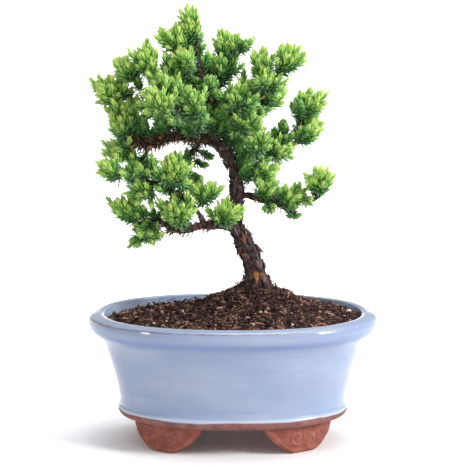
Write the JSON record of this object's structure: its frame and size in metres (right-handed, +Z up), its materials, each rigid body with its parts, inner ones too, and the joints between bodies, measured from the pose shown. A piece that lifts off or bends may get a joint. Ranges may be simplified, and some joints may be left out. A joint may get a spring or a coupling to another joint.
{
  "type": "bonsai tree in a pot",
  "caption": "Small juniper bonsai with a leaning trunk and layered foliage pads, planted off centre in an oval glazed pot that stands on bracket feet.",
  "frame": {"origin": "centre of the pot's footprint on the surface that its feet stand on", "axes": "+Z up, +X to the right of the display side along the pot's length, +Y away from the display side across the pot's depth"},
  "size_m": [0.202, 0.158, 0.3],
  "materials": {
    "glazed_pot": "glossy pale blue glaze over unglazed red clay feet",
    "screen": "matt black mesh",
    "soil": "rough dark bark and peat",
    "bark": "rough flaking bark",
    "foliage": "satin green needles, yellow-green at the tips"
  },
  "bodies": {
    "root": {"pot": "glazed_pot", "drain_screen_left": "screen", "drain_screen_right": "screen", "soil": "soil", "trunk": "bark", "branch_left_main": "bark", "branch_far_left": "bark", "branch_low_left": "bark", "branch_low_left_up": "bark", "branch_low_right": "bark", "branch_low_right_out": "bark", "branch_right_mid": "bark", "branch_upper_right": "bark", "branch_upper_mid": "bark", "branch_upper_left": "bark", "branch_front_left": "bark", "branch_back": "bark", "branch_back_down": "bark", "foliage_apex_tip": "foliage", "foliage_apex_left": "foliage", "foliage_apex_low": "foliage", "foliage_top_left_upper": "foliage", "foliage_top_left_outer": "foliage", "foliage_top_left_inner": "foliage", "foliage_far_left_upper": "foliage", "foliage_far_left_low": "foliage", "foliage_front_left": "foliage", "foliage_front_left_inner": "foliage", "foliage_left_end_upper": "foliage", "foliage_left_end_low": "foliage", "foliage_left_below": "foliage", "foliage_upper_mid_top": "foliage", "foliage_upper_mid_low": "foliage", "foliage_upper_right_tip": "foliage", "foliage_upper_right_crown": "foliage", "foliage_upper_right_mid": "foliage", "foliage_upper_right_low": "foliage", "foliage_centre_right": "foliage", "foliage_centre_back": "foliage", "foliage_right_bud": "foliage", "foliage_right_loop_low": "foliage", "foliage_right_loop_mid": "foliage", "foliage_right_loop_top": "foliage", "foliage_right_under": "foliage", "foliage_right_low_inner": "foliage", "foliage_right_low_mid": "foliage", "foliage_right_low_tip": "foliage", "foliage_low_left_tip": "foliage", "foliage_low_left_crown": "foliage", "foliage_low_left_mid": "foliage", "foliage_low_left_inner": "foliage", "foliage_low_left_front": "foliage", "foliage_low_left_outer": "foliage", "foliage_low_left_bottom": "foliage", "foliage_trunk_shoots": "foliage", "foliage_back_drop": "foliage", "foliage_back_top": "foliage", "foliage_back_left": "foliage", "foliage_back_right": "foliage", "foliage_back_low_right": "foliage"}
  },
  "joints": []
}
